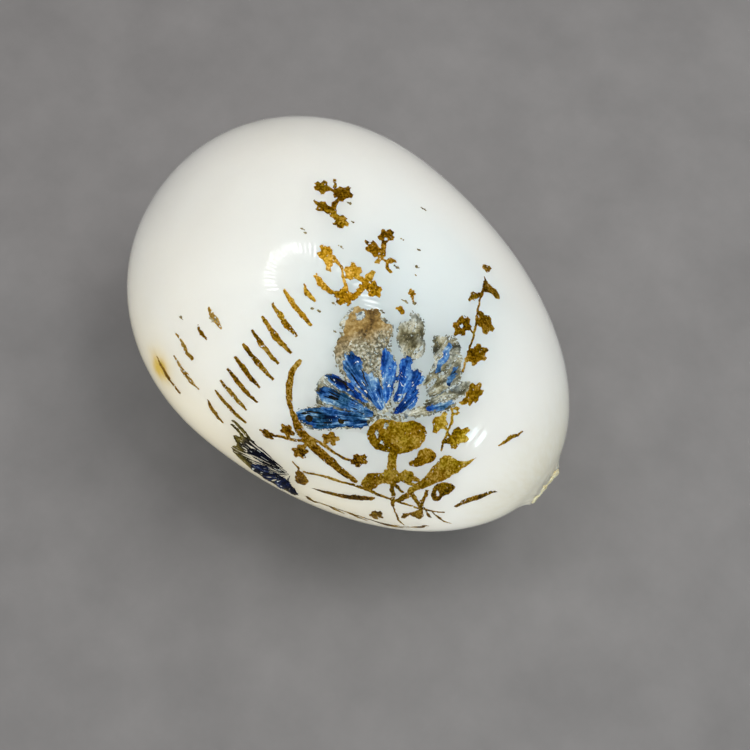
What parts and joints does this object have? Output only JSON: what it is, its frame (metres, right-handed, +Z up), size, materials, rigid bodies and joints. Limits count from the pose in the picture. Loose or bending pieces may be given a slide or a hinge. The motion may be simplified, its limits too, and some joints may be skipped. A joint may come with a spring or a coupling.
{
  "type": "decorated glass easter egg",
  "caption": "Hollow blown opal glass egg lying on its side, open at a snapped neck, with gilt sprigs and blue and navy enamel flowers applied to one side.",
  "frame": {"origin": "under the middle of the egg's bounding box, on the surface that it lies on", "axes": "+X towards the small end, level, with the egg's own axis 6.8 degrees under it; +Z up; the decorated side faces up and towards -Y"},
  "size_m": [0.1084, 0.0788, 0.0793],
  "materials": {
    "opal_glass": "glossy, opaque white with a cool middle and creamier edges",
    "crust": "matte dried filler, pale yellow and crumbly",
    "gilt": "old fired gilding, half matte, rubbed along its edges",
    "rusty_gilt": "thin rubbed gilding with a rusty tint",
    "worn_gilt": "thin speckled gilding, grey-brown, worn through in flecks",
    "blue_enamel": "brushed cold enamel, satin, flaked in places",
    "navy_enamel": "brushed cold enamel, satin, nearly black"
  },
  "bodies": {
    "root": {"glass_shell": "opal_glass", "neck_crust": "crust", "sprig_top": "gilt", "sprig_crown": "gilt", "leaf_loose_upper": "gilt", "leaf_loose_lower": "gilt", "sprig_upper": "gilt", "frieze_end_blade_1": "gilt", "frieze_blade_1": "gilt", "frieze_blade_2": "gilt", "frieze_blade_3": "gilt", "frieze_blade_4": "gilt", "frieze_blade_5": "gilt", "frieze_blade_6": "gilt", "frieze_blade_7": "gilt", "frieze_blade_8": "gilt", "frieze_blade_9": "gilt", "frieze_end_blade_2": "gilt", "bouquet_gilding": "gilt", "sword_leaf": "gilt", "trefoil_leaf": "gilt", "ring_leaf": "gilt", "slim_leaf": "gilt", "sprig_tip_leaf": "gilt", "sprig_long": "gilt", "sprig_leaf_low": "gilt", "sprig_side": "gilt", "loose_stroke": "gilt", "loose_leaf": "gilt", "bud_ground": "gilt", "bud_calyx": "gilt", "under_flower": "gilt", "under_sprig": "gilt", "frieze_worn_blade_1": "rusty_gilt", "frieze_worn_blade_2": "rusty_gilt", "frieze_worn_blade_3": "rusty_gilt", "frieze_worn_blade_4": "rusty_gilt", "frieze_worn_blade_5": "rusty_gilt", "bloom_cap": "worn_gilt", "bloom_ground_left": "worn_gilt", "worn_petal_1": "worn_gilt", "worn_petal_2": "worn_gilt", "worn_petal_3": "worn_gilt", "worn_petal_4": "worn_gilt", "worn_petal_5": "worn_gilt", "petal_1": "blue_enamel", "petal_2": "blue_enamel", "petal_3": "blue_enamel", "petal_4": "blue_enamel", "petal_5": "blue_enamel", "petal_6": "blue_enamel", "petal_7": "blue_enamel", "petal_streak_1": "blue_enamel", "petal_streak_2": "blue_enamel", "petal_streak_3": "blue_enamel", "bud_petal_1": "navy_enamel", "bud_petal_2": "navy_enamel", "bud_petal_3": "navy_enamel", "bud_petal_4": "navy_enamel", "bud_petal_5": "navy_enamel"}
  },
  "joints": []
}
